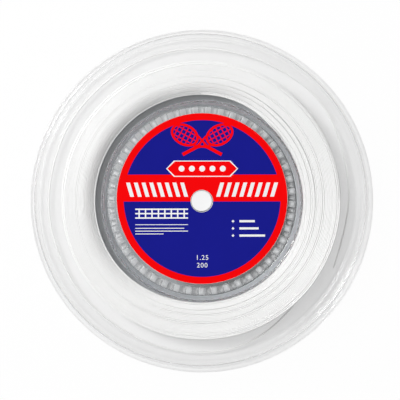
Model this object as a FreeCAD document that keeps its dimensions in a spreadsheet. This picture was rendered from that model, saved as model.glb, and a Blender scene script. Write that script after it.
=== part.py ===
import FreeCAD, Part

import math
import os

import Sketcher
from FreeCAD import Placement, Rotation, Vector

# A reel of racket string, lying flat with its labelled face up.
# The reel's axis is Z and its lower rim lip stands on z = 0.
# Two equal clear mouldings, the second turned over, press together at a crown of teeth in the hub.
# Each moulding is described from the reel's middle plane outwards, as (radius, height) around the axis.

# Driving sizes: millimetres, degrees and counts
SIZES = (
    ("rim_radius", 132.5, "outer radius of the flanges"),
    ("shell_wall", 1.5, "wall of the mouldings"),
    ("winding_width", 19.5, "clear width between the flanges where the string lies"),
    ("bore_radius", 8.1, "spindle hole in each hub floor"),
    ("hub_half_depth", 2.5, "middle plane to the inner face of a hub floor"),
    ("recess_radius", 74.2, "recess wall where it meets the hub floor"),
    ("recess_flare", 2.2, "how much wider the recess is where it meets the flange"),
    ("shoulder_bevel", 2.2, "slope from the recess wall over to the flange"),
    ("riser_run", 2.4, "radial length of each of the flange's two risers"),
    ("riser_rise", 1.1, "height of each riser"),
    ("terrace_width", 2.8, "flat ring between the two risers"),
    ("brim_width", 5.9, "outer riser to the rim"),
    ("lip_width", 2.3, "width of the rim lip"),
    ("lip_height", 1.55, "how far the rim lip stands out from the brim"),
    ("tooth_count", 45, "crown teeth on each moulding"),
    ("crown_margin", 0.6, "recess wall to the outer ends of the crown teeth"),
    ("tooth_length", 6.3, "crown tooth, along the radius"),
    ("tooth_wall", 0.9, "wall of each hollow tooth"),
    ("pocket_bevel", 0.8, "outer corners of a tooth's pocket"),
    ("tooth_draft", 0.1, "how much narrower a flank is at the tip than at the root"),
    ("flank_gap", 0.3, "play between neighbouring teeth of the two mouldings"),
    ("tip_gap", 0.4, "play between a tooth's tip and the opposite hub floor"),
    ("label_margin", 0.8, "inner ends of the crown teeth to the label, were it centred"),
    ("label_thickness", 0.3, "printed label"),
    ("label_shift_x", 0.3, "label's centre beside the reel's axis"),
    ("label_shift_y", 1.9, "label's centre above the reel's axis"),
    ("label_hole_margin", 0.4, "how far the label's hole clears the spindle hole"),
    ("string_diameter", 1.25, "string"),
    ("coil_slack", 2.7, "play between drum and coil"),
    ("coil_outer_radius", 109.0, "outside of the coil"),
    ("coil_gap", 0.3, "play between the coil and each flange"),
    ("layer_gap", 0.1, "play between the inner layers and the outermost one"),
    ("outer_turns", 5, "turns left in the outermost layer, which is partly drawn off"),
    ("turn_gap", 0.55, "play between neighbouring turns of the outermost layer"),
    ("exit_angle", 323.0, "where the string leaves the coil"),
    ("tail_first_run", 38.0, "straight run on which the string leaves the coil"),
)

# The string's loose last turn, from where it leaves the coil to its cut end:
# angle around the reel, distance outside the coil, height above the flange it lies on
TAIL_POINTS = (
    (284.0, 11.2, 0.0),
    (265.0, 12.1, 0.1),
    (246.0, 11.3, 0.0),
    (226.0, 12.3, 0.2),
    (207.0, 11.2, 0.0),
    (187.0, 12.0, 0.0),
    (168.0, 11.0, 0.2),
    (148.0, 11.9, 0.0),
    (128.0, 11.1, 0.1),
    (109.0, 12.2, 0.0),
    (89.0, 11.3, 0.0),
    (70.0, 10.9, 0.3),
    (53.0, 12.0, 0.1),
    (38.0, 13.6, 0.0),
    (23.0, 9.4, 0.2),
    (6.0, 8.6, 0.0),
    (-11.0, 7.2, 0.1),
    (-27.0, 7.9, 0.0),
)

PARTS_FOLDER = "parts"
QUARTER_TURN = 90.0
SECTION_SIDES = 4
ARC_SHARE = 0.45
TOLERANCE = 1e-4


def make_sheet(doc):
    """Put every driving size in the sheet, under its own name."""
    sheet = doc.addObject("Spreadsheet::Sheet", "sizes")
    for row, (name, number, note) in enumerate(SIZES, start=1):
        sheet.set(f"A{row}", name)
        sheet.set(f"B{row}", str(number))
        sheet.setAlias(f"B{row}", name)
        sheet.set(f"C{row}", note)
    doc.recompute()
    return sheet


doc = FreeCAD.newDocument("string_reel")
sheet = make_sheet(doc)

# Levels of a moulding above the middle plane
FLOOR_INNER = "sizes.hub_half_depth"
FLOOR_OUTER = "(sizes.hub_half_depth + sizes.shell_wall)"
FLANGE_INNER = "(sizes.winding_width / 2)"
FLANGE_OUTER = "(sizes.winding_width / 2 + sizes.shell_wall)"
TERRACE_INNER = "(sizes.winding_width / 2 + sizes.riser_rise)"
TERRACE_OUTER = "(sizes.winding_width / 2 + sizes.riser_rise + sizes.shell_wall)"
BRIM_INNER = "(sizes.winding_width / 2 + 2 * sizes.riser_rise)"
BRIM_OUTER = "(sizes.winding_width / 2 + 2 * sizes.riser_rise + sizes.shell_wall)"
LIP_TOP = f"({BRIM_OUTER} + sizes.lip_height)"

# Radii of a moulding
RECESS_TOP_RADIUS = "(sizes.recess_radius + sizes.recess_flare)"
DRUM_FLOOR_RADIUS = "(sizes.recess_radius + sizes.shell_wall)"
DRUM_TOP_RADIUS = f"({RECESS_TOP_RADIUS} + sizes.shell_wall)"
SECOND_RISER_END = "(sizes.rim_radius - sizes.brim_width)"
TERRACE_RADIUS = f"({SECOND_RISER_END} - sizes.riser_run)"
FIRST_RISER_END = f"({TERRACE_RADIUS} - sizes.terrace_width)"
FLAT_RADIUS = f"({FIRST_RISER_END} - sizes.riser_run)"
LIP_INNER_RADIUS = "(sizes.rim_radius - sizes.lip_width)"
TOOTH_OUTER_RADIUS = "(sizes.recess_radius - sizes.crown_margin)"
TOOTH_INNER_RADIUS = f"({TOOTH_OUTER_RADIUS} - sizes.tooth_length)"

# Section of a moulding: out along the string side to the rim, then back along the open side
HALF_OUTLINE = (
    ("sizes.bore_radius", FLOOR_INNER),
    (DRUM_FLOOR_RADIUS, FLOOR_INNER),
    (DRUM_TOP_RADIUS, FLANGE_INNER),
    (FLAT_RADIUS, FLANGE_INNER),
    (FIRST_RISER_END, TERRACE_INNER),
    (TERRACE_RADIUS, TERRACE_INNER),
    (SECOND_RISER_END, BRIM_INNER),
    ("sizes.rim_radius", BRIM_INNER),
    ("sizes.rim_radius", LIP_TOP),
    (LIP_INNER_RADIUS, LIP_TOP),
    (LIP_INNER_RADIUS, BRIM_OUTER),
    (SECOND_RISER_END, BRIM_OUTER),
    (TERRACE_RADIUS, TERRACE_OUTER),
    (FIRST_RISER_END, TERRACE_OUTER),
    (FLAT_RADIUS, FLANGE_OUTER),
    (RECESS_TOP_RADIUS, FLANGE_OUTER),
    ("sizes.recess_radius", FLOOR_OUTER),
    ("sizes.bore_radius", FLOOR_OUTER),
)

# The sharp ring between recess wall and flange, which is bevelled to the shoulder
SHOULDER_RING = (RECESS_TOP_RADIUS, FLANGE_OUTER)

# A crown tooth starts inside its hub floor and ends short of the opposite one
TOOTH_LEVELS = ("(sizes.hub_half_depth + sizes.shell_wall / 2)", "(sizes.tip_gap - sizes.hub_half_depth)")
# Its pocket opens on the recess side and leaves a wall at the tip
POCKET_LEVELS = (FLOOR_OUTER, "(sizes.tip_gap - sizes.hub_half_depth + sizes.tooth_wall)")
TOOTH_PHASE = "90 / sizes.tooth_count"


def number(expression):
    """Work out an expression on the driving sizes."""
    return float(sheet.evalExpression(expression))


def size(name):
    """Read one driving size."""
    return float(sheet.get(name))


def origin_feature(body, role):
    """Find a body's own origin plane or axis."""
    for feature in body.Origin.OriginFeatures:
        if feature.Role == role:
            return feature
    raise ValueError(role)


def pin_point(sketch, curve, end, across, up):
    """Hold one end of a curve at two distances from the sketch's origin."""
    for kind, expression in (("DistanceX", across), ("DistanceY", up)):
        index = sketch.addConstraint(Sketcher.Constraint(kind, -1, 1, curve, end, number(expression)))
        sketch.setExpression(f"Constraints[{index}]", expression)


def polygon_sketch(body, name, plane, corners):
    """Draw a closed outline through corners, each held by its two expressions."""
    sketch = body.newObject("Sketcher::SketchObject", name)
    sketch.AttachmentSupport = [(origin_feature(body, plane), "")]
    sketch.MapMode = "FlatFace"
    points = [Vector(number(across), number(up), 0) for across, up in corners]
    for start, end in zip(points, points[1:] + points[:1]):
        sketch.addGeometry(Part.LineSegment(start, end), False)
    for curve in range(len(points)):
        following = (curve + 1) % len(points)
        sketch.addConstraint(Sketcher.Constraint("Coincident", curve, 2, following, 1))
    for curve, (across, up) in enumerate(corners):
        pin_point(sketch, curve, 1, across, up)
    return sketch


def revolve(body, name, corners):
    """Turn a (radius, height) outline around the body's axis."""
    sketch = polygon_sketch(body, name + "_outline", "XZ_Plane", corners)
    turned = body.newObject("PartDesign::Revolution", name + "_turned")
    turned.Profile = sketch
    turned.ReferenceAxis = (sketch, ["V_Axis"])
    turned.Angle = 360
    doc.recompute()
    return turned


def ring_edge(shape, ring):
    """Name the full circle of a shape that lies at the given (radius, height) ring."""
    radius, height = (number(expression) for expression in ring)
    for index, edge in enumerate(shape.Edges, start=1):
        if not isinstance(edge.Curve, Part.Circle):
            continue
        if abs(edge.Curve.Radius - radius) < TOLERANCE and abs(edge.Curve.Center.z - height) < TOLERANCE:
            return f"Edge{index}"
    raise ValueError(ring)


def bevel_ring(body, name, ring, amount):
    """Bevel one ring of the body's last feature."""
    base = body.Tip
    feature = body.newObject("PartDesign::Chamfer", name)
    feature.Base = (base, [ring_edge(base.Shape, ring)])
    feature.setExpression("Size", amount)
    doc.recompute()


def tooth_corners(flank_shift, inset, bevel):
    """Outline of a tooth, or of its pocket with the wall as inset, with its middle line along X."""

    def flank(radius):
        return f"({radius} * tan(90 / sizes.tooth_count) - sizes.flank_gap / 2 - {inset} + {flank_shift})"

    inner = f"({TOOTH_INNER_RADIUS} + {inset})"
    outer = f"({TOOTH_OUTER_RADIUS} - {inset})"
    upper = [(inner, flank(inner)), (outer, flank(outer))]
    if bevel:
        shoulder = f"({outer} - {bevel})"
        upper[1:] = [(shoulder, flank(shoulder)), (outer, f"{flank(outer)} - {bevel}")]
    lower = [(across, f"-({up})") for across, up in reversed(upper)]
    return upper + lower


def tooth_sketch(body, name, level, corners):
    """Place a tooth's outline at its level and turned to its place in the crown."""
    sketch = polygon_sketch(body, name, "XY_Plane", corners)
    sketch.AttachmentOffset = Placement(Vector(0, 0, 1), Rotation(Vector(0, 0, 1), 1))
    sketch.setExpression(".AttachmentOffset.Base.z", level)
    sketch.setExpression(".AttachmentOffset.Rotation.Angle", TOOTH_PHASE)
    return sketch


def tooth_loft(body, kind, name, levels, inset="0", bevel=None):
    """A tooth, or its pocket, drawn in a little from the upper level to the lower one."""
    shifts = ("sizes.tooth_draft / 2", "-sizes.tooth_draft / 2")
    root, tip = (
        tooth_sketch(body, f"{name}_{end}", level, tooth_corners(shift, inset, bevel))
        for end, level, shift in zip(("root", "tip"), levels, shifts)
    )
    loft = body.newObject(kind, name)
    loft.Profile = root
    loft.Sections = [tip]
    loft.Ruled = True
    doc.recompute()
    return loft


def add_crown(body, label):
    """Add the ring of coupling teeth: hollow, closed at the tip and open on the recess side."""
    tooth = tooth_loft(body, "PartDesign::AdditiveLoft", label + "_tooth", TOOTH_LEVELS)
    solid_volume = tooth.Shape.Volume
    pocket = tooth_loft(
        body, "PartDesign::SubtractiveLoft", label + "_pocket", POCKET_LEVELS, "sizes.tooth_wall", "sizes.pocket_bevel"
    )
    if pocket.Shape.Volume >= solid_volume:
        raise RuntimeError(f"{pocket.Name} cuts nothing")
    crown = body.newObject("PartDesign::PolarPattern", label + "_crown")
    crown.Originals = [tooth, pocket]
    crown.Axis = (origin_feature(body, "Z_Axis"), [""])
    crown.Angle = 360
    crown.setExpression("Occurrences", "sizes.tooth_count")
    body.Tip = crown
    doc.recompute()


def make_half(label, turned_over):
    """One clear moulding: flange, drum wall, hub floor and crown."""
    body = doc.addObject("PartDesign::Body", label)
    body.Label = label
    revolve(body, label, HALF_OUTLINE)
    bevel_ring(body, label + "_shoulder", SHOULDER_RING, "sizes.shoulder_bevel")
    add_crown(body, label)
    if turned_over:
        body.Placement = Placement(Vector(0, 0, 0), Rotation(Vector(1, 0, 0), 180))
    body.setExpression(".Placement.Base.z", LIP_TOP)
    return body


def make_label(label):
    """The round printed sheet on the front hub floor, a little off centre, with its hole on the axis."""
    body = doc.addObject("PartDesign::Body", label)
    body.Label = label
    sketch = body.newObject("Sketcher::SketchObject", label + "_outline")
    sketch.AttachmentSupport = [(origin_feature(body, "XY_Plane"), "")]
    sketch.MapMode = "FlatFace"
    circles = (
        (f"{TOOTH_INNER_RADIUS} - sizes.label_margin", "sizes.label_shift_x", "sizes.label_shift_y"),
        ("sizes.bore_radius + sizes.label_hole_margin", "0", "0"),
    )
    for curve, (radius, across, up) in enumerate(circles):
        centre = Vector(number(across), number(up), 0)
        sketch.addGeometry(Part.Circle(centre, Vector(0, 0, 1), number(radius)), False)
        index = sketch.addConstraint(Sketcher.Constraint("Radius", curve, number(radius)))
        sketch.setExpression(f"Constraints[{index}]", radius)
        pin_point(sketch, curve, 3, across, up)
    pad = body.newObject("PartDesign::Pad", label + "_sheet")
    pad.Profile = sketch
    pad.setExpression("Length", "sizes.label_thickness")
    body.setExpression(".Placement.Base.z", f"{LIP_TOP} + {FLOOR_OUTER}")
    return body


def make_winding(label):
    """The coil's inner layers as one ring."""
    inner = f"({DRUM_TOP_RADIUS} + sizes.coil_slack)"
    outer = "(sizes.coil_outer_radius - sizes.string_diameter - sizes.layer_gap)"
    top = "(sizes.winding_width / 2 - sizes.coil_gap)"
    bottom = f"-{top}"
    corners = ((inner, bottom), (outer, bottom), (outer, top), (inner, top))
    body = doc.addObject("PartDesign::Body", label)
    body.Label = label
    revolve(body, label, corners)
    body.setExpression(".Placement.Base.z", LIP_TOP)
    return body


def arc_through(start, end, direction):
    """The arc that leaves start along direction and ends at end."""
    chord = end - start
    along = Vector(chord).normalize()
    sideways = direction - along * direction.dot(along)
    half_angle = math.atan2(sideways.Length, direction.dot(along))
    bulge = sideways.normalize() * (chord.Length / 2 * math.tan(half_angle / 2))
    return Part.Arc(start, start + chord / 2 + bulge, end).toShape()


def biarc(start, start_direction, end, end_direction):
    """Two arcs that join two points and share a direction where they meet."""
    chord = end - start
    total = start_direction + end_direction
    spread = 2 * (1 - start_direction.dot(end_direction))
    reach = (-chord.dot(total) + math.sqrt(chord.dot(total) ** 2 + spread * chord.dot(chord))) / spread
    joint = (start + end + (start_direction - end_direction) * reach) / 2
    first = arc_through(start, joint, start_direction)
    second = arc_through(end, joint, end_direction * -1)
    return [first, second]


def string_section(centre, direction):
    """The string's section, square to direction: a polygon whose corners lie on the string's surface."""
    sideways = direction.cross(Vector(0, 0, 1)).normalize()
    upwards = sideways.cross(direction).normalize()
    corners = []
    for corner in range(SECTION_SIDES + 1):
        turned = 2 * math.pi * corner / SECTION_SIDES
        offset = sideways * math.cos(turned) + upwards * math.sin(turned)
        corners.append(centre + offset * (size("string_diameter") / 2))
    return Part.makePolygon(corners)


def sweep_string(edges):
    """The faceted string along a path of joined edges, checked against its section times its length."""
    path = Part.Wire(edges)
    start = edges[0].valueAt(edges[0].FirstParameter)
    section = string_section(start, edges[0].tangentAt(edges[0].FirstParameter))
    solid = path.makePipeShell([section], True, False)
    expected = Part.Face(section).Area * path.Length
    print(f"string of {path.Length:.1f} mm: volume is {solid.Volume / expected:.5f} of section times length")
    return solid


def exit_level():
    """Height of the string's middle where it leaves the coil, next to the rear flange."""
    flange = number(f"{LIP_TOP} - {FLANGE_INNER}")
    return flange + size("coil_gap") + size("string_diameter") / 2


def outer_layer_station(turn):
    """Place and direction of the string after this many turns of the outermost layer, clockwise from above."""
    remaining = size("outer_turns") - turn
    pitch = size("string_diameter") + size("turn_gap")
    radius = size("coil_outer_radius") - size("string_diameter") / 2
    angle = math.radians(size("exit_angle")) + 2 * math.pi * remaining
    across = radius * math.cos(angle)
    along = radius * math.sin(angle)
    place = Vector(across, along, exit_level() + pitch * remaining)
    direction = Vector(along, -across, -pitch / (2 * math.pi)).normalize()
    return place, direction


def report_turn_gap(edges):
    """Print the least gap between neighbouring turns, measured on points along the path."""
    points = [edge.valueAt(edge.FirstParameter + (edge.LastParameter - edge.FirstParameter) * share / 4)
              for edge in edges for share in range(4)]
    per_turn = 4 * len(edges) / size("outer_turns")
    least = min(
        (second - first).Length
        for index, first in enumerate(points)
        for second in points[index + int(per_turn / 2):index + int(per_turn * 3 / 2)]
    )
    print(f"least gap between turns of the outermost layer: {least - size('string_diameter'):.3f} mm")


def make_outer_layer(label):
    """What is left of the coil's outermost layer, as one string that winds down to the rear flange."""
    quarters = int(round(size("outer_turns") * 360 / QUARTER_TURN))
    stations = [outer_layer_station(quarter * QUARTER_TURN / 360) for quarter in range(quarters + 1)]
    turns = []
    for (start, start_direction), (end, end_direction) in zip(stations, stations[1:]):
        turns += biarc(start, start_direction, end, end_direction)
    lead = size("string_diameter")
    first, first_direction = stations[0]
    last, last_direction = stations[-1]
    lead_in = Part.LineSegment(first - first_direction * lead, first).toShape()
    lead_out = Part.LineSegment(last, last + last_direction * lead).toShape()
    report_turn_gap(turns)
    feature = doc.addObject("Part::Feature", label)
    feature.Label = label
    feature.Shape = sweep_string([lead_in, *turns, lead_out])
    return feature


def tail_route():
    """Corner points of the loose last turn."""
    last, direction = outer_layer_station(size("outer_turns"))
    start = last + direction * size("string_diameter")
    route = [start, start + direction * size("tail_first_run")]
    for angle, outside, lift in TAIL_POINTS:
        radius = size("coil_outer_radius") + outside
        turned = math.radians(angle)
        route.append(Vector(radius * math.cos(turned), radius * math.sin(turned), exit_level() + lift))
    return route


def rounded_path(route):
    """Straight runs joined by tangent arcs as large as the runs allow."""
    edges = []
    radii = []
    previous_end = route[0]
    for before, corner, after in zip(route, route[1:], route[2:]):
        arriving = corner - before
        leaving = after - corner
        reach = ARC_SHARE * min(arriving.Length, leaving.Length)
        turn = arriving.getAngle(leaving)
        radii.append(reach / math.tan(turn / 2))
        arc_start = corner - arriving.normalize() * reach
        arc_end = corner + leaving.normalize() * reach
        edges.append(Part.LineSegment(previous_end, arc_start).toShape())
        edges.append(arc_through(arc_start, arc_end, arriving))
        previous_end = arc_end
    edges.append(Part.LineSegment(previous_end, route[-1]).toShape())
    print("radii along the loose turn:", " ".join(f"{radius:.0f}" for radius in radii))
    return edges


def make_tail(label):
    """The string's loose last turn, lying in the gap on the rear flange."""
    feature = doc.addObject("Part::Feature", label)
    feature.Label = label
    feature.Shape = sweep_string(rounded_path(tail_route()))
    return feature


def check_and_export(parts):
    """Stop on any failed object or shape, then write one file for each sub-part."""
    doc.recompute()
    for item in doc.Objects:
        if "Invalid" in item.State or "Error" in item.State:
            raise RuntimeError(f"{item.Name} failed: {item.State}")
    for part in parts:
        if part.Shape.isNull() or not part.Shape.isValid():
            raise RuntimeError(f"{part.Label} has no valid shape")
    os.makedirs(PARTS_FOLDER, exist_ok=True)
    for part in parts:
        part.Shape.exportStep(os.path.join(PARTS_FOLDER, part.Label + ".step"))
        print(f"{part.Label}: {len(part.Shape.Solids)} solid, {part.Shape.Volume / 1000:.2f} cm3")


check_and_export(
    [
        make_half("rear_half", turned_over=True),
        make_half("front_half", turned_over=False),
        make_label("front_label"),
        make_winding("string_winding"),
        make_outer_layer("string_outer_layer"),
        make_tail("string_tail"),
    ]
)
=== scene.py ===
import math
import random

import bmesh
import bpy
from mathutils import Matrix, Vector
from mathutils.geometry import tessellate_polygon


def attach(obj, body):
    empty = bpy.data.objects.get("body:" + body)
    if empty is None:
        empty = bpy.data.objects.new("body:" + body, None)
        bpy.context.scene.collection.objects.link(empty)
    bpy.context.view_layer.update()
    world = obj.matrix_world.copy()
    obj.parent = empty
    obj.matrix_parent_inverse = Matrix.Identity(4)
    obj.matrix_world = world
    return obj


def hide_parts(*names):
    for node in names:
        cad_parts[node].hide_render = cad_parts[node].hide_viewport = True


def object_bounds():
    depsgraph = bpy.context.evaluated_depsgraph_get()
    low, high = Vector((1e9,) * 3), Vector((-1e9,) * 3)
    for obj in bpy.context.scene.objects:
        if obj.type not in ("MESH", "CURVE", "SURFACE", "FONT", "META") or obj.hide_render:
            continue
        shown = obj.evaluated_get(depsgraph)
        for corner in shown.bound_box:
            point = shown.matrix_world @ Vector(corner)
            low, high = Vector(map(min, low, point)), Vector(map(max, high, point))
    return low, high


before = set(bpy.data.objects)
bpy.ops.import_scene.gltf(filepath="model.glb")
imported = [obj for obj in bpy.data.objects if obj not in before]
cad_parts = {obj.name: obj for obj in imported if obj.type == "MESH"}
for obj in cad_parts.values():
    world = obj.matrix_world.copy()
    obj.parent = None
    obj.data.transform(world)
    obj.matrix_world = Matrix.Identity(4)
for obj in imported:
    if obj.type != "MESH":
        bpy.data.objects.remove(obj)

# The reel lies on the floor with its labelled face up, as in the frame.
# Lengths are in millimetres until a mesh is made, angles in degrees.

CAD_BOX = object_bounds()
MM = 0.001

# Spans that a lathed shape has around its axis
STEPS = 360

# Mouldings, as heights above the reel's middle plane and radii around its axis
MIDDLE = 15.0
RIM = 132.5
WALL = 1.5
BORE = 8.1
FLOOR = 2.5
RECESS = 74.2
RECESS_TOP = 76.4
FLANGE = 9.75
RISE = 1.1
FLAT_END = 119.0
TERRACE_START = 121.4
TERRACE_END = 124.2
BRIM_START = 126.6
RISER_EASE = 0.5
STEP_ROUNDING = 0.9
LIP_INSIDE = 130.2

# Finishes of the clear plastic, by place in PLASTICS
TEXTURED = 1
STEEP = 2
SATIN = 3
FROSTED = 4
HAZE_AND_SHADE = 5

# Crown of teeth
TEETH = 45
TOOTH_INSIDE = 67.3
TOOTH_OUTSIDE = 73.6
TOOTH_WALL = 0.9
TOOTH_TIP = -2.1
FLANK_GAP = 0.3
TOOTH_DRAFT = 0.1
CROWN_INSIDE = 66.9
POCKET_SIDE_END = 73.2
TOOTH_SIDE_END = 74.3

# Angle from the X axis to the first tooth, as a share of the pitch
CROWN_PHASE = 0.25

# Rounded end of a tooth and of its pocket, with the pocket's inner ramp and the outlines that make each
TOOTH_EDGE = 0.4
POCKET_EDGE = 0.5
POCKET_RAMP = 3.7
TIP_LEVELS = 7

# Reach of the fine texture, beyond the foot of the ramp and to each side of the middle of a flank
RAMP_TEXTURE = 0.4
FLANK_TEXTURE = 1.2

# Label
LABEL_RADIUS = 66.5
LABEL_HOLE = 8.5
LABEL_SHIFT = (0.3, 1.9)
LABEL_THICKNESS = 0.3
LABEL_TOP = MIDDLE + FLOOR + WALL + LABEL_THICKNESS
INK_MARGIN = 0.25
FIELD_RADIUS = 61.0
BAND_TOP = 18.7
BAND_BOTTOM = -2.2

# The hole over the bore, as seen from the label's centre
HOLE_CENTRE = (-LABEL_SHIFT[0], -LABEL_SHIFT[1])

# Heights of the printed layers above the paper, and of one overlapping shape above the next
INK_RING = 0.01
INK_FIELD = 0.02
INK_MARKS = 0.03
INK_NUMBERS = 0.04
INK_DOTS = 0.05
INK_STEP = 0.004

# String
STRING = 1.25
COIL_INSIDE = 80.6
COIL_OUTSIDE = 109.0
COIL_GAP = 0.3
LAYER_GAP = 0.1
LOWEST_TURN = MIDDLE - FLANGE + COIL_GAP + STRING / 2
HIGHEST_TURN = 2 * MIDDLE - LOWEST_TURN
UNDER_LAYER = COIL_OUTSIDE - STRING - LAYER_GAP - STRING / 2
STATIONS_PER_TURN = 180
FACE_TURNS = 25
LAYER_TURNS = 14
OUTER_TURNS = 5
TURN_PITCH = 1.8
EXIT_ANGLE = 323.0
TAIL_FIRST_RUN = 38.0

# How the coil hangs on the drum. HANG is its inner radius beyond COIL_INSIDE, and SINK the depth to which
# its innermost turns have sunk: the mean of each around the reel, then how far it swings from side to side.
HANG_SHARPNESS = 2.8
HANG = (0.6, 2.4)
SINK = (3.9, 3.1)
SINK_WIDTH = 10.5

# The core that stops the view between the turns: its slope is given as distance outwards and depth
CORE_INSIDE = COIL_INSIDE + 3.9
CORE_SLOPE = ((0.0, 7.4), (3.5, 3.2), (8.0, 0.0))
CORE_UNDER_FACE = 0.3
CORE_UNDER_SIDE = 0.2

# The loose last turn: angle, distance outside the coil, height above the flange it lies on
TAIL_POINTS = (
    (284.0, 11.2, 0.0),
    (265.0, 12.1, 0.1),
    (246.0, 11.3, 0.0),
    (226.0, 12.3, 0.2),
    (207.0, 11.2, 0.0),
    (187.0, 12.0, 0.0),
    (168.0, 11.0, 0.2),
    (148.0, 11.9, 0.0),
    (128.0, 11.1, 0.1),
    (109.0, 12.2, 0.0),
    (89.0, 11.3, 0.0),
    (70.0, 10.9, 0.3),
    (53.0, 12.0, 0.1),
    (38.0, 13.6, 0.0),
    (23.0, 9.4, 0.2),
    (6.0, 8.6, 0.0),
    (-11.0, 7.2, 0.1),
    (-27.0, 7.9, 0.0),
)

# Colours as linear light
PAPER = (0.86, 0.86, 0.85)
INK_RED = (0.95, 0.001, 0.002)
INK_BLUE = (0.009, 0.011, 0.26)
INK_WHITE = (0.9, 0.9, 0.9)
STRING_WHITE = (0.97, 0.97, 0.965)
CLEAR = (1.0, 1.0, 1.0)
COOL = (0.975, 0.988, 1.0)
# Darker blue-grey of the haze on the drum's recess side: painted shade for the shade in the recess
PAINTED_SHADE_GREY = (0.76, 0.815, 0.85)
# Floor under the hub, darker and bluer than under the rim: painted shade that stands in for the shadow in
# the hub
PAINTED_SHADE_UNDER_HUB = (0.69, 0.71, 0.74)
UNDER_RIM = (0.97, 0.97, 0.97)

# Clear plastics: name, colour, transmission, least and most roughness, share of light that passes
PLASTICS = (
    ("clear_plastic", CLEAR, 1.0, 0.02, 0.08, 0.995),
    ("clear_plastic_textured", COOL, 0.2, 0.25, 0.45, 0.4),
    ("clear_plastic_steep", CLEAR, 1.0, 0.02, 0.08, 0.86),
    ("clear_plastic_satin", COOL, 1.0, 0.15, 0.3, 0.9),
    ("clear_plastic_frosted", COOL, 0.8, 0.3, 0.5, 0.75),
    # Haze on the drum's recess side: a real hazy finish, with a darker blue-grey that is painted shade
    ("clear_plastic_haze_and_shade", PAINTED_SHADE_GREY, 0.6, 0.3, 0.5, 0.75),
)

# Noise scales of the plastic's flow marks and scuffs
FLOW_MARKS = 40.0
SCUFFS = 900.0

# How much of the white floor and room shows, seen directly and through the plastic; the floor's share
# through the plastic is a painted light, a glow under the flange that lifts the coil's shadow there
FLOOR_SEEN = 0.9
FLOOR_PAINTED_GLOW = 0.42
ROOM_THROUGH = 0.65

# Direction that most of the light comes from
KEY_SIDE = 148.0

# The room's brightness from the horizon to straight above, and its strength away from the key and near it
ROOM_LEVELS = ((0.0, 0.65), (0.18, 0.65), (0.35, 0.55), (0.72, 0.75), (0.87, 0.3), (0.95, 0.1))
ROOM_STRENGTH = (0.75, 1.2)


def polar(radius, angle, height=0.0):
    """A point in millimetres at an angle in degrees."""
    turned = math.radians(angle)
    return Vector((radius * math.cos(turned), radius * math.sin(turned), height))


# Camera


def add_camera():
    """A long lens straight above the reel, three degrees off the axis to the upper left."""
    tilt = math.radians(3.0)
    distance = 1.8
    image_width = 0.309
    aim = Vector((-0.00178, 0.00124, CAD_BOX[1][2]))
    sideways = math.sin(tilt) * distance / math.sqrt(2)
    place = aim + Vector((-sideways, sideways, math.cos(tilt) * distance))
    data = bpy.data.cameras.new("camera")
    data.sensor_width = 36.0
    data.lens = data.sensor_width * distance / image_width
    data.clip_end = 20.0
    camera = bpy.data.objects.new("camera", data)
    forward = (aim - place).normalized()
    right = forward.cross(Vector((0, 1, 0))).normalized()
    up = right.cross(forward)
    axes = Matrix((right, up, -forward)).transposed()
    camera.matrix_world = Matrix.Translation(place) @ axes.to_4x4()
    bpy.context.scene.collection.objects.link(camera)
    bpy.context.scene.camera = camera


# Materials


def new_material(name):
    """An empty node material with its output; returns material, nodes, links and output."""
    material = bpy.data.materials.new(name)
    material.use_nodes = True
    nodes = material.node_tree.nodes
    nodes.clear()
    return material, nodes, material.node_tree.links, nodes.new("ShaderNodeOutputMaterial")


def noise(nodes, links, scale, detail=3.0):
    """A noise texture in the object's own place."""
    place = nodes.new("ShaderNodeTexCoord")
    texture = nodes.new("ShaderNodeTexNoise")
    texture.inputs["Scale"].default_value = scale
    texture.inputs["Detail"].default_value = detail
    links.new(place.outputs["Object"], texture.inputs["Vector"])
    return texture.outputs["Fac"]


def spread(nodes, links, source, low, high, start=0.0, end=1.0):
    """Map a value between start and end to low to high."""
    mapped = nodes.new("ShaderNodeMapRange")
    mapped.inputs["From Min"].default_value = start
    mapped.inputs["From Max"].default_value = end
    mapped.inputs["To Min"].default_value = low
    mapped.inputs["To Max"].default_value = high
    links.new(source, mapped.inputs["Value"])
    return mapped.outputs["Result"]


def combined(nodes, links, operation, first, second):
    """Two values, each a socket or a number, taken together."""
    step = nodes.new("ShaderNodeMath")
    step.operation = operation
    for socket, value in zip(step.inputs, (first, second)):
        if isinstance(value, float):
            socket.default_value = value
        else:
            links.new(value, socket)
    return step.outputs[0]


def tinted(nodes, links, source, dark, light):
    """A colour between dark and light."""
    mix = nodes.new("ShaderNodeMix")
    mix.data_type = "RGBA"
    mix.inputs["A"].default_value = (*dark, 1)
    mix.inputs["B"].default_value = (*light, 1)
    links.new(source, mix.inputs["Factor"])
    return mix.outputs["Result"]


def bumped(nodes, links, source, strength, distance):
    """A normal bent by a height."""
    bump = nodes.new("ShaderNodeBump")
    bump.inputs["Strength"].default_value = strength
    bump.inputs["Distance"].default_value = distance
    links.new(source, bump.inputs["Height"])
    return bump.outputs["Normal"]


def scaled(colour, factor):
    """A colour made darker or lighter."""
    return tuple(min(1.0, part * factor) for part in colour)


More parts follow.
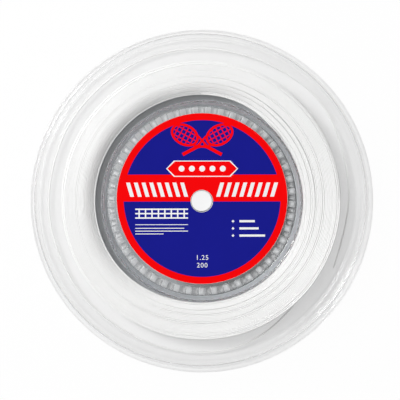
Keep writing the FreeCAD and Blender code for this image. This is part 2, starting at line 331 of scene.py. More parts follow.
def clear_material(name, colour, body, rough_low, rough_high, passing):
    """Clear moulded polystyrene with flow marks and fine scuffs, see-through to shadow and diffuse rays."""
    material, nodes, links, output = new_material(name)
    shader = nodes.new("ShaderNodeBsdfPrincipled")
    shader.inputs["Transmission Weight"].default_value = body
    shader.inputs["IOR"].default_value = 1.5
    marks = noise(nodes, links, FLOW_MARKS)
    scuffs = noise(nodes, links, SCUFFS, 4.0)
    base = tinted(nodes, links, marks, scaled(colour, 0.985), colour)
    links.new(base, shader.inputs["Base Color"])
    links.new(spread(nodes, links, scuffs, rough_low, rough_high), shader.inputs["Roughness"])
    links.new(bumped(nodes, links, marks, strength=0.25, distance=0.0004), shader.inputs["Normal"])
    see_through = nodes.new("ShaderNodeBsdfTransparent")
    see_through.inputs["Color"].default_value = (passing, passing, passing, 1)
    path = nodes.new("ShaderNodeLightPath")
    shadow, diffuse = path.outputs["Is Shadow Ray"], path.outputs["Is Diffuse Ray"]
    mix = nodes.new("ShaderNodeMixShader")
    links.new(combined(nodes, links, "MAXIMUM", shadow, diffuse), mix.inputs["Fac"])
    links.new(shader.outputs["BSDF"], mix.inputs[1])
    links.new(see_through.outputs["BSDF"], mix.inputs[2])
    links.new(mix.outputs["Shader"], output.inputs["Surface"])
    return material


def string_material():
    """White synthetic monofilament: smooth and softly glossy."""
    material, nodes, links, output = new_material("string_monofilament")
    shader = nodes.new("ShaderNodeBsdfPrincipled")
    shader.inputs["IOR"].default_value = 1.53
    drift = noise(nodes, links, 30.0)
    fine = noise(nodes, links, 1500.0, 2.0)
    base = tinted(nodes, links, drift, scaled(STRING_WHITE, 0.95), STRING_WHITE)
    links.new(base, shader.inputs["Base Color"])
    links.new(spread(nodes, links, fine, 0.22, 0.4), shader.inputs["Roughness"])
    links.new(bumped(nodes, links, fine, strength=0.08, distance=0.0001), shader.inputs["Normal"])
    links.new(shader.outputs["BSDF"], output.inputs["Surface"])
    return material


def print_material(name, colour):
    """Printing ink or bare paper of the label: satin, with paper fibre and a faintly uneven coat."""
    material, nodes, links, output = new_material(name)
    shader = nodes.new("ShaderNodeBsdfPrincipled")
    coat = noise(nodes, links, 60.0)
    fibre = noise(nodes, links, 2500.0, 3.0)
    base = tinted(nodes, links, coat, scaled(colour, 0.93), scaled(colour, 1.04))
    links.new(base, shader.inputs["Base Color"])
    links.new(spread(nodes, links, fibre, 0.45, 0.62), shader.inputs["Roughness"])
    links.new(bumped(nodes, links, fibre, strength=0.1, distance=0.00005), shader.inputs["Normal"])
    shader.inputs["Specular IOR Level"].default_value = 0.03
    links.new(shader.outputs["BSDF"], output.inputs["Surface"])
    return material


def floor_material():
    """A pale floor that keeps the shadow, lifted to white where seen and in part under the flange, where
    the lift is a painted light glowing through the plastic that lifts the coil's shadow; under the hub it
    is a darker blue-grey, a painted shade.
    """
    material, nodes, links, output = new_material("floor_white")
    place = nodes.new("ShaderNodeTexCoord")
    distance = nodes.new("ShaderNodeVectorMath")
    distance.operation = "LENGTH"
    links.new(place.outputs["Object"], distance.inputs[0])
    radius = distance.outputs["Value"]
    under_coil = 10.0
    hub_end, flange_start = (COIL_INSIDE + under_coil) * MM, (COIL_OUTSIDE - under_coil) * MM
    outwards = spread(nodes, links, radius, 0.0, 1.0, hub_end, flange_start)
    # The glow through the plastic fades in from the hub and out beyond the brim: painted light under the
    # flange that lifts the coil's shadow
    inwards = spread(nodes, links, radius, 1.0, 0.0, FLAT_END * MM, BRIM_START * MM)
    flange = combined(nodes, links, "MULTIPLY", outwards, inwards)
    matte = nodes.new("ShaderNodeBsdfDiffuse")
    # The floor is a darker blue-grey under the hub: painted shade for the shadow there
    links.new(tinted(nodes, links, outwards, PAINTED_SHADE_UNDER_HUB, UNDER_RIM), matte.inputs["Color"])
    path = nodes.new("ShaderNodeLightPath")
    seen = combined(nodes, links, "MULTIPLY", path.outputs["Is Camera Ray"], FLOOR_SEEN)
    through = combined(nodes, links, "MULTIPLY", path.outputs["Is Transmission Ray"], FLOOR_PAINTED_GLOW)
    lifted = combined(nodes, links, "ADD", seen, combined(nodes, links, "MULTIPLY", through, flange))
    glow = nodes.new("ShaderNodeEmission")
    mix = nodes.new("ShaderNodeMixShader")
    links.new(lifted, mix.inputs["Fac"])
    links.new(matte.outputs["BSDF"], mix.inputs[1])
    links.new(glow.outputs["Emission"], mix.inputs[2])
    links.new(mix.outputs["Shader"], output.inputs["Surface"])
    return material


# Meshes


def finish_piece(piece, body, material):
    """Link a piece, give it its material and let it ride on its body."""
    bpy.context.scene.collection.objects.link(piece)
    piece.data.materials.append(material)
    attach(piece, body)
    return piece


def mesh_piece(name, points, faces, smooth_below=None, finishes=None):
    """A mesh object from points in millimetres, shaded smooth where faces meet at less than an angle."""
    mesh = bpy.data.meshes.new(name)
    mesh.from_pydata([Vector(point) * MM for point in points], [], faces)
    for index, finish in (finishes or {}).items():
        mesh.polygons[index].material_index = finish
    builder = bmesh.new()
    builder.from_mesh(mesh)
    bmesh.ops.remove_doubles(builder, verts=builder.verts, dist=1e-6)
    bmesh.ops.recalc_face_normals(builder, faces=builder.faces)
    builder.to_mesh(mesh)
    builder.free()
    if smooth_below:
        mesh.shade_smooth()
        mesh.set_sharp_from_angle(angle=math.radians(smooth_below))
    return bpy.data.objects.new(name, mesh)


def rounded_outline(corners):
    """Points along a closed outline whose corners, (radius, height, rounding), are turned into arcs."""
    outline = []
    for index, (radius, height, rounding) in enumerate(corners):
        corner = Vector((radius, height))
        if not rounding:
            outline.append(corner)
            continue
        before = (Vector(corners[index - 1][:2]) - corner).normalized()
        after = (Vector(corners[(index + 1) % len(corners)][:2]) - corner).normalized()
        half_angle = before.angle(after) / 2
        reach = rounding / math.tan(half_angle)
        centre = corner + (before + after).normalized() * (rounding / math.sin(half_angle))
        first = corner + before * reach - centre
        last = corner + after * reach - centre
        sweep = first.angle(last)
        pieces = max(2, math.ceil(math.degrees(sweep) / 15))
        for step in range(pieces + 1):
            share = step / pieces
            blend = first * math.sin((1 - share) * sweep) + last * math.sin(share * sweep)
            outline.append(centre + blend / math.sin(sweep))
    return outline


def flange_corners():
    """Section of a moulding as radius, height and rounding: out on its string side, and back."""
    floor_top = FLOOR + WALL
    outside = FLANGE + WALL
    return [
        (BORE, FLOOR, 0.3),
        (CROWN_INSIDE, FLOOR, 0),
        (TOOTH_SIDE_END, FLOOR, 0),
        (RECESS + WALL, FLOOR, 1.7),
        (RECESS_TOP + WALL, FLANGE, 1.0),
        (FLAT_END + RISER_EASE, FLANGE, STEP_ROUNDING),
        (TERRACE_START - RISER_EASE, FLANGE + RISE, STEP_ROUNDING),
        (TERRACE_END + RISER_EASE, FLANGE + RISE, STEP_ROUNDING),
        (BRIM_START - RISER_EASE, FLANGE + 2 * RISE, STEP_ROUNDING),
        (RIM, FLANGE + 2 * RISE, 0.5),
        (RIM, MIDDLE, 0.6),
        (LIP_INSIDE, MIDDLE, 0.6),
        (LIP_INSIDE, outside + 2 * RISE, 0.5),
        (BRIM_START - RISER_EASE, outside + 2 * RISE, STEP_ROUNDING),
        (TERRACE_END + RISER_EASE, outside + RISE, STEP_ROUNDING),
        (TERRACE_START - RISER_EASE, outside + RISE, STEP_ROUNDING),
        (FLAT_END + RISER_EASE, outside, STEP_ROUNDING),
        (RECESS_TOP, outside, 2.5),
        (RECESS, floor_top, 1.2),
        (POCKET_SIDE_END, floor_top, 0),
        (CROWN_INSIDE, floor_top, 0),
        (BORE, floor_top, 0.3),
    ]


def lathe(outline, left_open=()):
    """Turn an outline around the axis; the spans that start at the named points stay open."""
    points = []
    faces = []
    for radius, height in outline:
        points += [polar(radius, step * 360 / STEPS, height) for step in range(STEPS)]
    for ring, start in enumerate(outline):
        if tuple(start) in left_open:
            continue
        this, following = ring * STEPS, (ring + 1) % len(outline) * STEPS
        for step in range(STEPS):
            turned = (step + 1) % STEPS
            faces.append((this + step, this + turned, following + turned, following + step))
    return points, faces


def lathe_finishes(points, faces):
    """Finishes by face number, for the steep steps of the flange and for the drum's foot and both sides;
    the recess side's haze carries painted shade.
    """
    steep_share = 0.35
    foot_start = RECESS + WALL * 0.2
    foot_slope = 0.3
    drum_end = RECESS_TOP + WALL
    finishes = {}
    for index, face in enumerate(faces):
        radii = [points[corner].xy.length for corner in face]
        heights = [points[corner].z for corner in face]
        across, rise = max(radii) - min(radii), max(heights) - min(heights)
        radius, height = sum(radii) / 4, sum(heights) / 4
        if radius > COIL_OUTSIDE and rise > steep_share * across:
            finishes[index] = STEEP
        elif foot_start < radius < drum_end and height < FLOOR + foot_slope * (radius - RECESS):
            finishes[index] = SATIN
        elif radius < drum_end and FLOOR + WALL < height < FLANGE + WALL and rise > across:
            up_wall = (height - FLOOR - WALL) / (FLANGE - FLOOR)
            inside_wall = RECESS + (RECESS_TOP - RECESS) * up_wall + WALL / 2
            # The drum's recess side gets the haze with painted shade, a darker blue-grey
            finishes[index] = HAZE_AND_SHADE if radius < inside_wall else SATIN
    return finishes


def tooth_outline(draft, inset, edge, ramp):
    """A tooth's section, or its pocket's, with its middle line along X; a ramp shortens its inner end."""

    def flank(radius):
        return radius * math.tan(math.radians(90 / TEETH)) - FLANK_GAP / 2 - inset - edge + draft

    inside = TOOTH_INSIDE + inset + max(edge, ramp)
    outside = TOOTH_OUTSIDE - inset - edge
    outer_rounding = max(0.12, 0.8 - edge - ramp * 0.2)
    inner_rounding = min(outer_rounding, 0.3)
    corners = [
        (inside, flank(inside), inner_rounding),
        (outside, flank(outside), outer_rounding),
        (outside, -flank(outside), outer_rounding),
        (inside, -flank(inside), inner_rounding),
    ]
    return rounded_outline(corners)


def turned_points(outline, angle, height):
    """A flat outline turned around the axis and lifted to a height."""
    turn = Matrix.Rotation(math.radians(angle), 3, "Z")
    return [turn @ Vector((point.x, point.y, height)) for point in outline]


def wall_between(points, faces, lower, upper):
    """Join two outlines of equal count by a band of quads."""
    start = len(points)
    count = len(lower)
    points += [*lower, *upper]
    for step in range(count):
        following = (step + 1) % count
        faces.append((start + step, start + following, start + count + following, start + count + step))


def plate(points, faces, loops):
    """Fill between an outer loop and its holes."""
    start = len(points)
    for loop in loops:
        points += loop
    for triangle in tessellate_polygon([[Vector((p.x, p.y, 0)) for p in loop] for loop in loops]):
        faces.append(tuple(start + index for index in triangle))


def tooth_rings(middle, start, end, inset, edge, ramp):
    """Outlines down a tooth, or down its pocket, rounded at the end and with a ramp on its inner side."""
    draft = TOOTH_DRAFT / 2
    reach = max(edge, ramp)
    levels = [(start, draft, 0.0, 0.0), (end + reach, -draft, 0.0, 0.0)]
    for step in range(1, TIP_LEVELS + 1):
        turned = math.radians(step * 90 / TIP_LEVELS)
        left = reach * (1 - math.sin(turned))
        rounded = 1 - math.sqrt(max(0.0, 1 - (1 - min(left, edge) / edge) ** 2))
        levels.append((end + left, -draft, rounded * edge, (1 - math.cos(turned)) * ramp))
    return [
        turned_points(tooth_outline(level_draft, inset, level_edge, level_ramp), middle, height)
        for height, level_draft, level_edge, level_ramp in levels
    ]


def side_walls(points, faces, rings, has_ramp):
    """Walls down the rounded end of a tooth or pocket; returns the faces on its ramp and on its middle."""
    mid_tooth = (TOOTH_INSIDE + TOOTH_OUTSIDE) / 2
    textured = []
    for upper, lower in zip(rings[1:], rings[2:]):
        ramp_end = min(point.xy.length for point in lower) + RAMP_TEXTURE
        before = len(faces)
        wall_between(points, faces, lower, upper)
        for index in range(before, len(faces)):
            radius = sum(points[corner].xy.length for corner in faces[index]) / 4
            if (has_ramp and radius < ramp_end) or abs(radius - mid_tooth) < FLANK_TEXTURE:
                textured.append(index)
    return textured


def crown_cell(points, faces, middle):
    """One tooth with its pocket and the floor around it; returns its textured faces and its tip's faces."""
    half_pitch = 180 // TEETH
    spans = 2 * half_pitch * STEPS // 360
    angles = [middle - half_pitch + step * 360 / STEPS for step in range(spans + 1)]
    floor_top = FLOOR + WALL
    tooth = tooth_rings(middle, FLOOR, TOOTH_TIP, 0, TOOTH_EDGE, TOOTH_EDGE)
    pocket = tooth_rings(middle, floor_top, TOOTH_TIP + TOOTH_WALL, TOOTH_WALL, POCKET_EDGE, POCKET_RAMP)
    for outer_end, rings in ((POCKET_SIDE_END, pocket), (TOOTH_SIDE_END, tooth)):
        height = rings[0][0].z
        inner = [polar(CROWN_INSIDE, angle, height) for angle in angles]
        outer = [polar(outer_end, angle, height) for angle in reversed(angles)]
        plate(points, faces, [inner + outer, rings[0]])
    before = len(faces)
    plate(points, faces, [tooth[-1]])
    tip = range(before, len(faces))
    plate(points, faces, [pocket[-1]])
    wall_between(points, faces, tooth[1], tooth[0])
    wall_between(points, faces, pocket[1], pocket[0])
    textured = side_walls(points, faces, tooth, False) + side_walls(points, faces, pocket, True)
    return textured, tip


def make_half(name, node, body, turned_over, materials):
    """A clear moulding: the lathed flange, drum and floor, with its crown of hollow teeth."""
    open_spans = ((CROWN_INSIDE, FLOOR), (POCKET_SIDE_END, FLOOR + WALL))
    left_open = [tuple(Vector(span)) for span in open_spans]
    points, faces = lathe(rounded_outline(flange_corners()), left_open)
    finishes = lathe_finishes(points, faces)
    for tooth in range(TEETH):
        textured, tip = crown_cell(points, faces, (tooth + CROWN_PHASE) * 360 / TEETH)
        finishes.update({index: TEXTURED for index in textured})
        finishes.update({index: FROSTED for index in tip})
    side = -1 if turned_over else 1
    points = [Vector((point.x, side * point.y, MIDDLE + side * point.z)) for point in points]
    piece = mesh_piece(name, points, faces, smooth_below=32, finishes=finishes)
    finish_piece(piece, body, materials[0])
    for material in materials[1:]:
        piece.data.materials.append(material)
    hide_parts(node)


# String


def tube_piece(name, stations, radius, sides=10):
    """A tube along stations in millimetres that run nearly level around the reel."""
    points = []
    faces = []
    for index, station in enumerate(stations):
        before = stations[max(0, index - 1)]
        after = stations[min(len(stations) - 1, index + 1)]
        along = (after - before).normalized()
        sideways = along.cross(Vector((0, 0, 1))).normalized()
        upwards = sideways.cross(along)
        for side in range(sides):
            turned = 2 * math.pi * side / sides
            points.append(station + (sideways * math.cos(turned) + upwards * math.sin(turned)) * radius)
    for index in range(len(stations) - 1):
        for side in range(sides):
            following = (side + 1) % sides
            low = index * sides
            faces.append((low + side, low + following, low + sides + following, low + sides + side))
    faces.append(tuple(range(sides)))
    faces.append(tuple((len(stations) - 1) * sides + side for side in range(sides)))
    return mesh_piece(name, points, faces, smooth_below=50)


def wander(seed, size):
    """A smooth, slow, repeatable wander around the reel, in millimetres."""
    chance = random.Random(seed)
    waves = []
    for count in (1, 2, 3):
        waves.append((count, chance.uniform(0, 360), size * chance.uniform(0.4, 1.0) / count))

    def at(angle):
        return sum(height * math.sin(math.radians(count * angle + phase)) for count, phase, height in waves)

    return at


def steady(value):
    """A measure that is the same all around the reel."""
    return lambda angle: value


def mixed(first, second, share):
    """A value on the way from a first to a second."""
    return first * (1 - share) + second * share


def slackness(angle):
    """From -1, where the coil hangs against the drum, to 1 over the wide side that stands off it."""
    return math.tanh(HANG_SHARPNESS * math.cos(math.radians(angle - KEY_SIDE))) / math.tanh(HANG_SHARPNESS)


def slack_inside(angle):
    """Inner radius of the coil, which hangs against the drum at the lower right."""
    return COIL_INSIDE + HANG[0] + HANG[1] * slackness(angle)


def inner_slope(angle):
    """How far the innermost turns have sunk beside the drum, most of all where they are slack."""
    return SINK[0] + SINK[1] * slackness(angle)


def spiral_face(seed, level, down):
    """Turns of one flat face of the coil, from the inside out, with uneven gaps between them."""
    chance = random.Random(seed)
    crowded_turns, loose_turns = 5, 3
    pitches = []
    for turn in range(FACE_TURNS):
        pitches.append(chance.choice((0.92, 0.98, 1.05, 1.3)) * (0.7 if turn < crowded_turns else 1.0))
    places = [sum(pitches[:turn]) for turn in range(FACE_TURNS + 1)]
    wanders = [wander(seed + turn, 0.4 if turn < loose_turns else 0.1) for turn in range(FACE_TURNS + 1)]
    drops = [wander(seed + 100 + turn, 0.1) for turn in range(FACE_TURNS + 1)]
    stations = []
    for step in range(FACE_TURNS * STATIONS_PER_TURN + 1):
        turn, share = divmod(step / STATIONS_PER_TURN, 1)
        turn = int(turn)
        following = min(turn + 1, FACE_TURNS)
        angle = 360 * share
        inside = slack_inside(angle) + STRING / 2
        outward = mixed(places[turn], places[following], share) / places[-1]
        stray = mixed(wanders[turn](angle), wanders[following](angle), share)
        radius = inside + outward * (UNDER_LAYER - inside) + stray
        drop = abs(mixed(drops[turn](angle), drops[following](angle), share))
        drop += inner_slope(angle) * max(0.0, 1 - (radius - inside) / SINK_WIDTH) ** 2
        stations.append(polar(min(radius, UNDER_LAYER), angle, level + down * drop))
    return stations


def slack_turn():
    """The innermost turn, sprung inwards: on the drum at the lower right, loose at the upper left."""
    first_angle, step_angle, steps = 90, 0.9, 540
    mean_radius, radius_swing, on_drum = 81.2, 2.2, 78.6
    mean_depth, depth_swing, steps_per_millimetre = 3.4, 2.4, 200
    bulge, bulge_angle, bulge_width = 1.3, 40, 25
    stray = wander(71, 0.7)
    stations = []
    for step in range(steps + 1):
        angle = first_angle - step * step_angle
        slack = slackness(angle)
        from_bulge = (angle - bulge_angle + 180) % 360 - 180
        radius = mean_radius + radius_swing * slack - bulge * math.exp(-((from_bulge / bulge_width) ** 2))
        radius += stray(angle) * (1 - abs(slack))
        depth = mean_depth + depth_swing * slack + step / steps_per_millimetre
        stations.append(polar(max(radius, on_drum), angle, HIGHEST_TURN - depth))
    return stations


def helix(radius, top_at, bottom_at, turns, end_angle, seed=None):
    """Turns side by side from a top level to a bottom level, clockwise from above."""
    stray = wander(seed, 0.1) if seed else steady(0.0)
    stray_pace, stray_share = 1.7, 0.4
    stations = []
    steps = turns * STATIONS_PER_TURN
    for step in range(steps + 1):
        done = step / steps
        angle = end_angle + 360 * turns * (1 - done)
        height = mixed(top_at(angle), bottom_at(angle), done) + stray(angle * stray_pace) * stray_share
        stations.append(polar(radius(angle), angle, height))
    return stations


def coil_core():
    """The core that stops the view between the turns, sloped like them towards the drum."""
    shallow = HIGHEST_TURN - MIDDLE - CORE_UNDER_FACE
    lower = [Vector((CORE_INSIDE + outwards, depth - shallow)) for outwards, depth in CORE_SLOPE]
    lower.append(Vector((UNDER_LAYER - CORE_UNDER_SIDE, -shallow)))
    upper = [Vector((point.x, -point.y)) for point in reversed(lower)]
    points, faces = lathe(lower + upper)
    points = [point + Vector((0, 0, MIDDLE)) for point in points]
    return mesh_piece("coil_core", points, faces, smooth_below=30)


def make_coil(material):
    """The inner layers: the turns that show on each side of the coil, and its core."""
    highest, lowest = steady(HIGHEST_TURN), steady(LOWEST_TURN)
    outside = helix(steady(UNDER_LAYER), highest, lowest, LAYER_TURNS, EXIT_ANGLE, 5)
    inside = helix(
        lambda angle: slack_inside(angle) + STRING / 2,
        lambda angle: HIGHEST_TURN - inner_slope(angle),
        lambda angle: LOWEST_TURN + inner_slope(angle),
        LAYER_TURNS,
        40.0,
        8,
    )
    pieces = [
        tube_piece("coil_slack_turn", slack_turn(), STRING / 2),
        tube_piece("coil_front_face", spiral_face(11, HIGHEST_TURN, -1), STRING / 2),
        tube_piece("coil_rear_face", spiral_face(37, LOWEST_TURN, 1), STRING / 2),
        tube_piece("coil_outside", outside, STRING / 2),
        tube_piece("coil_inside", inside, STRING / 2),
        coil_core(),
    ]
    for piece in pieces:
        finish_piece(piece, "rear", material)
        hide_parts("string_winding")


def make_outer_turns(material):
    """What is left of the outermost layer."""
    radius = COIL_OUTSIDE - STRING / 2
    top = LOWEST_TURN + OUTER_TURNS * TURN_PITCH
    stations = helix(steady(radius), steady(top), steady(LOWEST_TURN), OUTER_TURNS, EXIT_ANGLE)
    stations.append(stations[-1] + (stations[-1] - stations[-2]).normalized() * STRING)
    piece = tube_piece("coil_outer_turns", stations, STRING / 2)
    finish_piece(piece, "rear", material)
    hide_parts("string_outer_layer")


def tail_route():
    """Route points of the loose last turn, in metres."""
    radius = COIL_OUTSIDE - STRING / 2
    leaving = polar(radius, EXIT_ANGLE, LOWEST_TURN)
    direction = polar(radius, EXIT_ANGLE - 90, -TURN_PITCH / (2 * math.pi)).normalized()
    start = leaving + direction * STRING
    route = [start, start + direction * TAIL_FIRST_RUN]
    for angle, outside, lift in TAIL_POINTS:
        route.append(polar(COIL_OUTSIDE + outside, angle, LOWEST_TURN + lift))
    return [point * MM for point in route]


def make_tail(material):
    """The loose last turn as one smooth cord with its cut end bare."""
    route = tail_route()
    curve = bpy.data.curves.new("string_loose_turn", "CURVE")
    curve.dimensions = "3D"
    curve.bevel_depth = STRING / 2 * MM
    curve.bevel_resolution = 4
    curve.use_fill_caps = True
    spline = curve.splines.new("NURBS")
    spline.points.add(len(route) - 1)
    for place, point in zip(spline.points, route):
        place.co = (*point, 1)
    spline.order_u = 3
    spline.use_endpoint_u = True
    spline.resolution_u = 12
    piece = bpy.data.objects.new("string_loose_turn", curve)
    finish_piece(piece, "rear", material)
    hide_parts("string_tail")


# Label


def arc(radius, start, end, centre=(0, 0), pieces=48):
    """Flat points along an arc."""
    middle = Vector((*centre, 0))
    return [middle + polar(radius, start + (end - start) * step / pieces) for step in range(pieces + 1)]


def ring_loops(outside, inside):
    """The label's outer circle and its hole over the bore."""
    return [arc(outside, 0, 359, pieces=180), arc(inside, 0, 355, HOLE_CENTRE, pieces=72)]


def flat_piece(name, shapes, lift, material, step=0.0):
    """Flat printed shapes, each an outer loop with its holes, in millimetres from the label's centre."""
    points = []
    faces = []
    centre = Vector((*LABEL_SHIFT, LABEL_TOP + lift))
    for index, loops in enumerate(shapes):
        above = Vector((0, 0, index * step))
        plate(points, faces, [[point + above for point in loop] for loop in loops])
    piece = mesh_piece(name, [point + centre for point in points], faces)
    for polygon in piece.data.polygons:
        if polygon.normal.z < 0:
            polygon.flip()
    return finish_piece(piece, "front", material)


def bar(x, y, length, width, angle=0.0):
    """A straight bar, given by its middle."""
    turn = Matrix.Rotation(math.radians(angle), 3, "Z")
    half = Vector((length / 2, width / 2, 0))
    corners = [(-half.x, -half.y), (half.x, -half.y), (half.x, half.y), (-half.x, half.y)]
    return [[Vector((x, y, 0)) + turn @ Vector((*corner, 0)) for corner in corners]]


def slanted(x, y, width, height, lean):
    """A leaning bar, given by its middle."""
    low, high = (-width - lean, width - lean), (width + lean, -width + lean)
    corners = [(across, -height) for across in low] + [(across, height) for across in high]
    return [[Vector((x + across / 2, y + up / 2, 0)) for across, up in corners]]


def ellipse(half_long, half_wide, pieces=64):
    """Flat points around an ellipse."""
    turns = [2 * math.pi * step / pieces for step in range(pieces)]
    return [Vector((half_long * math.cos(turned), half_wide * math.sin(turned), 0)) for turned in turns]


def racket(centre, angle):
    """A plain racket outline: hoop, strings, throat and handle."""
    turn = Matrix.Rotation(math.radians(angle), 3, "Z")
    middle = Vector((*centre, 0))
    hoop_long, hoop_wide, frame_width = 11.5, 8.2, 1.9
    line_pitch, line_width = 3.6, 0.8
    throat_side = ((-9.8, 4.8), (-20.0, 1.1), (-20.0, -1.1), (-9.8, -4.8))
    throat_inside = ((-9.8, -3.2), (-16.5, -0.7), (-16.5, 0.7), (-9.8, 3.2))

    def placed(points):
        return [middle + turn @ point for point in points]

    def half_string(offset, last_offset, longest):
        return (longest - 1) * math.sqrt(max(0.0, 1 - (offset / (last_offset - 1)) ** 2))

    inside = ellipse(hoop_long - frame_width, hoop_wide - frame_width)
    shapes = [[placed(ellipse(hoop_long, hoop_wide)), placed(inside)]]
    for line in range(-2, 3):
        across = line * line_pitch
        length = 2 * half_string(across, hoop_long, hoop_wide)
        shapes.append([placed(bar(across, 0, line_width, length)[0])])
    for line in range(-1, 2):
        up = line * line_pitch
        length = 2 * half_string(up, hoop_wide, hoop_long)
        shapes.append([placed(bar(0, up, length, line_width)[0])])
    shapes.append([placed([Vector((*corner, 0)) for corner in throat_side + throat_inside])])
    shapes.append([placed(bar(-26.0, 0, 13.0, 2.6)[0])])
    return shapes


def number_piece(name, text, x, y, height, material):
    """A plain printed number."""
    curve = bpy.data.curves.new(name, "FONT")
    curve.body = text
    curve.size = height * MM
    curve.align_x = "CENTER"
    curve.align_y = "CENTER"
    curve.space_character = 1.15
    piece = bpy.data.objects.new(name, curve)
    piece.location = Vector((LABEL_SHIFT[0] + x, LABEL_SHIFT[1] + y, LABEL_TOP + INK_NUMBERS)) * MM
    finish_piece(piece, "front", material)


def make_sheet(paper):
    """The label's paper."""
    shift = Vector((*LABEL_SHIFT, 0))
    loops = ring_loops(LABEL_RADIUS, LABEL_HOLE)
    levels = []
    for height in (LABEL_TOP - LABEL_THICKNESS, LABEL_TOP):
        levels.append([[point + shift + Vector((0, 0, height)) for point in loop] for loop in loops])
    points = []
    faces = []
    for lower, upper in zip(*levels):
        wall_between(points, faces, lower, upper)
    for level in levels:
        plate(points, faces, level)
    sheet = mesh_piece("label_sheet", points, faces, smooth_below=30)
    finish_piece(sheet, "front", paper)
    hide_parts("front_label")


def make_fields(red, blue):
    """The solid inks: red over all of the sheet, and a blue field above and below the red band."""
    notch = LABEL_HOLE + INK_MARGIN
    flat_piece("label_ink_red", [ring_loops(LABEL_RADIUS - 0.1, notch)], INK_RING, red)
    upper_angle = math.degrees(math.asin(BAND_TOP / FIELD_RADIUS))
    upper = [arc(FIELD_RADIUS, upper_angle, 180 - upper_angle, pieces=90)]
    lower_angle = math.degrees(math.asin(-BAND_BOTTOM / FIELD_RADIUS))
    notch_angle = math.degrees(math.asin((BAND_BOTTOM - HOLE_CENTRE[1]) / notch))
    lower = [
        arc(FIELD_RADIUS, 180 + lower_angle, 360 - lower_angle, pieces=90)
        + arc(notch, notch_angle, -180 - notch_angle, HOLE_CENTRE)
    ]
    flat_piece("label_ink_blue", [upper, lower], INK_FIELD, blue)


def make_design(red, white):
    """A plain design: crossed rackets, a plaque with a row of balls, and leaning stripes on the band."""
    rackets = racket((13.5, 49.5), 28) + racket((-13.5, 49.5), 152)
    flat_piece("label_rackets", rackets, INK_MARKS, red, INK_STEP)
    middle = 23.3
    corners = ((-28, middle), (-22, 29.6), (22, 29.6), (28, middle), (22, 17.0), (-22, 17.0))
    plaque = [Vector((x, y, 0)) for x, y in corners]
    inset = [Vector((point.x * 0.965, middle + (point.y - middle) * 0.89, 0)) for point in plaque]
    flat_piece("label_plaque", [[plaque]], INK_MARKS, white)
    flat_piece("label_plaque_field", [[inset]], INK_NUMBERS, red)
    balls = [[arc(2.3, 0, 350, (x, middle), pieces=35)] for x in (-16, -8, 0, 8, 16)]
    flat_piece("label_balls", balls, INK_DOTS, white)
    stripes = [slanted(side * x, 7.0, 3.0, 11.0, side * 3.2) for side in (-1, 1) for x in range(14, 58, 6)]
    flat_piece("label_stripes", stripes, INK_MARKS, white)


def make_marks(white):
    """Plain marks below the band: a net with rules under it, a short list and two numbers."""
    net_middle, net_length = -31.5, 41.0
    net = [bar(net_middle, y, net_length, 1.1) for y in (-8.2, -11.6, -15.0)]
    net += [bar(x, -11.6, 1.1, 8.0) for x in range(-49, -12, 5)]
    rules = [bar(net_middle, -20.2, net_length, 0.5)]
    for y, length in ((-23.0, 38.0), (-25.2, net_length), (-27.4, 22.0)):
        rules.append(bar(net_middle - (net_length - length) / 2, y, length, 0.6))
    rows = ((-17.6, 12.0), (-23.2, 15.0), (-28.8, 20.0))
    items = [bar(24.0, y, 1.6, 1.6, 45) for y, _ in rows]
    items += [bar(29.0 + length / 2, y, length, 1.7) for y, length in rows]
    flat_piece("label_marks", net + rules + items, INK_MARKS, white, INK_STEP)
    number_piece("label_number_gauge", "1.25", 0, -46.0, 5.2, white)
    number_piece("label_number_length", "200", 0, -52.0, 5.2, white)


def make_label():
    """The printed sheet with its inks."""
    paper = print_material("label_paper", PAPER)
    red = print_material("label_red", INK_RED)
    blue = print_material("label_blue", INK_BLUE)
    white = print_material("label_white", INK_WHITE)
    make_sheet(paper)
    make_fields(red, blue)
    make_design(red, white)
    make_marks(white)


# Studio


def make_floor():
    """A plain pale floor just under the reel."""
    half, level = 6000.0, -0.2
    corners = ((-half, -half), (half, -half), (half, half), (-half, half))
    floor = mesh_piece("floor", [(*corner, level) for corner in corners], [(0, 1, 2, 3)])
    bpy.context.scene.collection.objects.link(floor)
    floor.data.materials.append(floor_material())


def make_lamp(name, size, energy, elevation, azimuth, distance):
    """A square lamp aimed at the reel."""
    data = bpy.data.lights.new(name, "AREA")
    data.shape = "SQUARE"
    data.size = size
    data.energy = energy
    lamp = bpy.data.objects.new(name, data)
    across = math.cos(math.radians(elevation)) * distance
    lamp.location = polar(across, azimuth, math.sin(math.radians(elevation)) * distance)
    lamp.rotation_euler = (-Vector(lamp.location)).to_track_quat("-Z", "Y").to_euler()
    bpy.context.scene.collection.objects.link(lamp)


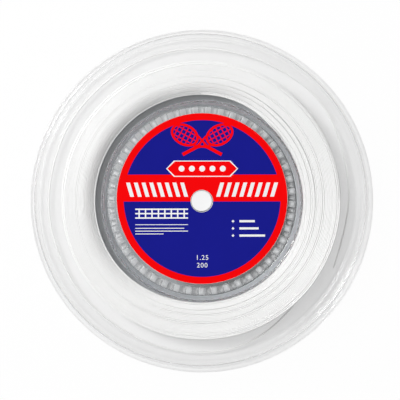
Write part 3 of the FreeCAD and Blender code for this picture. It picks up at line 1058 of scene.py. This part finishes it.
def room_light(nodes, links):
    """Light of a room with pale walls, brighter on the key's side, and a dark ceiling around the camera."""
    direction = nodes.new("ShaderNodeTexCoord")
    parts = nodes.new("ShaderNodeSeparateXYZ")
    links.new(direction.outputs["Generated"], parts.inputs["Vector"])
    ramp = nodes.new("ShaderNodeValToRGB")
    elements = ramp.color_ramp.elements
    elements[0].position, elements[1].position = ROOM_LEVELS[0][0], ROOM_LEVELS[-1][0]
    for place, _ in ROOM_LEVELS[1:-1]:
        elements.new(place)
    for element, (_, level) in zip(elements, ROOM_LEVELS):
        element.color = (level, level, level, 1)
    links.new(parts.outputs["Z"], ramp.inputs["Fac"])
    side = nodes.new("ShaderNodeVectorMath")
    side.operation = "DOT_PRODUCT"
    side.inputs[1].default_value = polar(1.0, KEY_SIDE)
    links.new(direction.outputs["Generated"], side.inputs[0])
    room = nodes.new("ShaderNodeBackground")
    links.new(ramp.outputs["Color"], room.inputs["Color"])
    strength = spread(nodes, links, side.outputs["Value"], *ROOM_STRENGTH, -1.0)
    links.new(strength, room.inputs["Strength"])
    return room.outputs["Background"]


def make_world():
    """The room, which shows as plain white to the camera and in part through the plastic."""
    world = bpy.data.worlds.new("room")
    bpy.context.scene.world = world
    world.use_nodes = True
    nodes = world.node_tree.nodes
    links = world.node_tree.links
    nodes.clear()
    output = nodes.new("ShaderNodeOutputWorld")
    white = nodes.new("ShaderNodeBackground")
    white.inputs["Color"].default_value = (1, 1, 1, 1)
    path = nodes.new("ShaderNodeLightPath")
    through = combined(nodes, links, "MULTIPLY", path.outputs["Is Transmission Ray"], ROOM_THROUGH)
    mix = nodes.new("ShaderNodeMixShader")
    links.new(combined(nodes, links, "ADD", path.outputs["Is Camera Ray"], through), mix.inputs["Fac"])
    links.new(room_light(nodes, links), mix.inputs[1])
    links.new(white.outputs["Background"], mix.inputs[2])
    links.new(mix.outputs["Shader"], output.inputs["Surface"])


bpy.context.scene.view_settings.view_transform = "Standard"
bpy.context.scene.cycles.max_bounces = 24
bpy.context.scene.cycles.transmission_bounces = 24
bpy.context.scene.cycles.transparent_max_bounces = 32
add_camera()
string = string_material()
make_tail(string)
make_outer_turns(string)
make_coil(string)
plastics = [clear_material(*row) for row in PLASTICS]
make_half("shell_front", "front_half", "front", False, plastics)
make_half("shell_rear", "rear_half", "rear", True, plastics)
make_label()
make_floor()
make_lamp("key_soft", size=2.2, energy=43.0, elevation=60, azimuth=KEY_SIDE, distance=4.0)
make_lamp("key_bright", size=0.9, energy=54.0, elevation=57, azimuth=KEY_SIDE, distance=4.0)
make_world()
